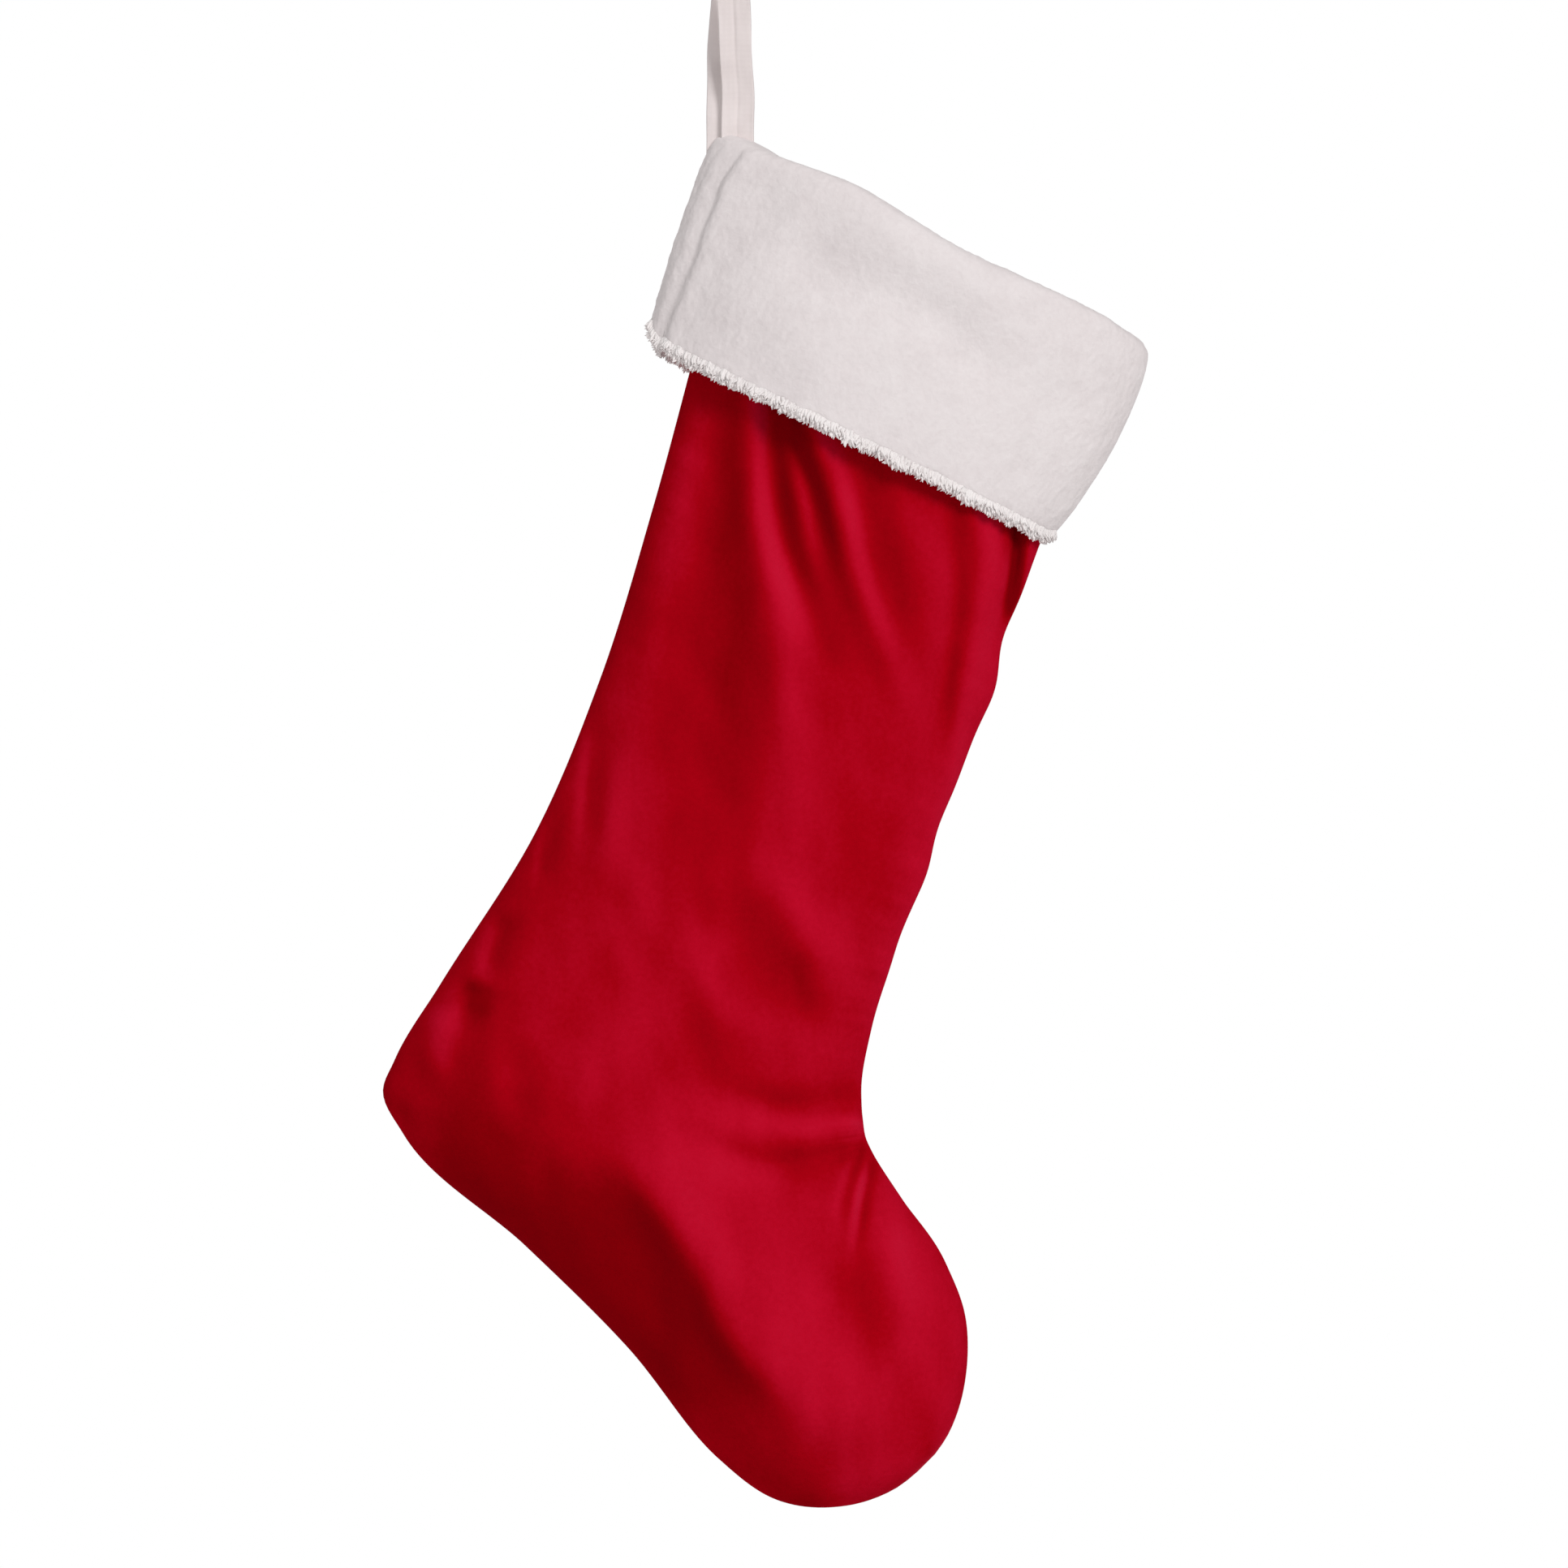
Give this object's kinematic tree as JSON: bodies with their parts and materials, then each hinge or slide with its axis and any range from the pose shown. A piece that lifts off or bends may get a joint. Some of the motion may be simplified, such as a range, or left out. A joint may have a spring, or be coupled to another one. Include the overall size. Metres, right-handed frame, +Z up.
{
  "type": "hanging stocking",
  "caption": "Hanging decorative stocking with a velvet leg and foot, a lining, a turned-down plush cuff and a strip loop at its heel-side corner.",
  "frame": {"origin": "seat of the hanging loop: the middle of the bend that lies on the hook", "axes": "+Z up, +X towards the side the toe points to, front of the stocking faces -Y"},
  "size_m": [0.2829, 0.058, 0.5806],
  "materials": {
    "velvet": "red velvet with a soft sheen",
    "plush": "short warm-white plush pile",
    "lining": "plain white woven lining",
    "strip": "folded white fabric strip",
    "white_thread": "matt white sewing thread",
    "red_thread": "matt red sewing thread"
  },
  "bodies": {
    "loop": {"hanging_loop": "strip"},
    "stocking": {"shell_front": "velvet", "shell_back": "velvet", "lining_front": "lining", "lining_back": "lining", "cuff_front": "plush", "cuff_back": "plush", "loop_ends": "strip", "loop_tack_thread": "white_thread", "shell_seam_thread": "red_thread", "lining_seam_thread": "white_thread", "cuff_heel_seam_thread": "white_thread", "cuff_toe_seam_thread": "white_thread", "mouth_seam_thread": "white_thread"}
  },
  "joints": [
    {"name": "loop_flex", "type": "hinge", "parent": "loop", "child": "stocking", "pos_m": [0, 0, -0.054], "axis": [1, 0, 0], "range_deg": [-135, 135]}
  ]
}
